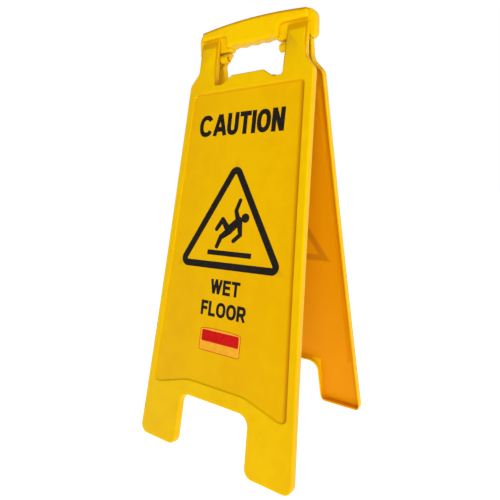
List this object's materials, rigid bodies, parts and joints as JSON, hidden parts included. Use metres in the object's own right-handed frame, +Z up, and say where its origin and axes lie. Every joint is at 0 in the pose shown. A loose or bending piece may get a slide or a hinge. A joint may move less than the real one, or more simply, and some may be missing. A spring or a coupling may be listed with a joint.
{
  "type": "folding floor sign",
  "caption": "Folding two-panel floor sign with a moulded grip handle across the top, a pinned hinge below it and a recessed print field on each outer face.",
  "frame": {"origin": "on the floor, midway between the two panels and on the sign's middle plane", "axes": "+Z up, X along the hinge with +X on the right of someone reading the front panel, -Y the way the front panel faces"},
  "size_m": [0.2792, 0.2644, 0.6395],
  "materials": {
    "yellow_plastic": "satin injection-moulded, lightly polished faces",
    "plated_steel": "zinc plated",
    "dark_steel": "dark olive plating",
    "badge_red": "printed film label"
  },
  "bodies": {
    "rear_frame": {"rear_panel": "yellow_plastic", "handle_rear_shell": "yellow_plastic", "handle_front_shell": "yellow_plastic", "handle_screw_left_outer": "plated_steel", "handle_screw_left_inner": "plated_steel", "handle_screw_right_inner": "plated_steel", "handle_screw_right_outer": "plated_steel", "hinge_pin_left": "dark_steel", "hinge_pin_right": "dark_steel", "pin_clip_left": "plated_steel", "pin_clip_right": "plated_steel", "rear_badge": "badge_red"},
    "front_frame": {"front_panel": "yellow_plastic", "front_badge": "badge_red"}
  },
  "joints": [
    {"name": "panel_fold", "type": "hinge", "parent": "rear_frame", "child": "front_frame", "pos_m": [0, 0, 0.59], "axis": [1, 0, 0], "range_deg": [0, 22.8]}
  ]
}
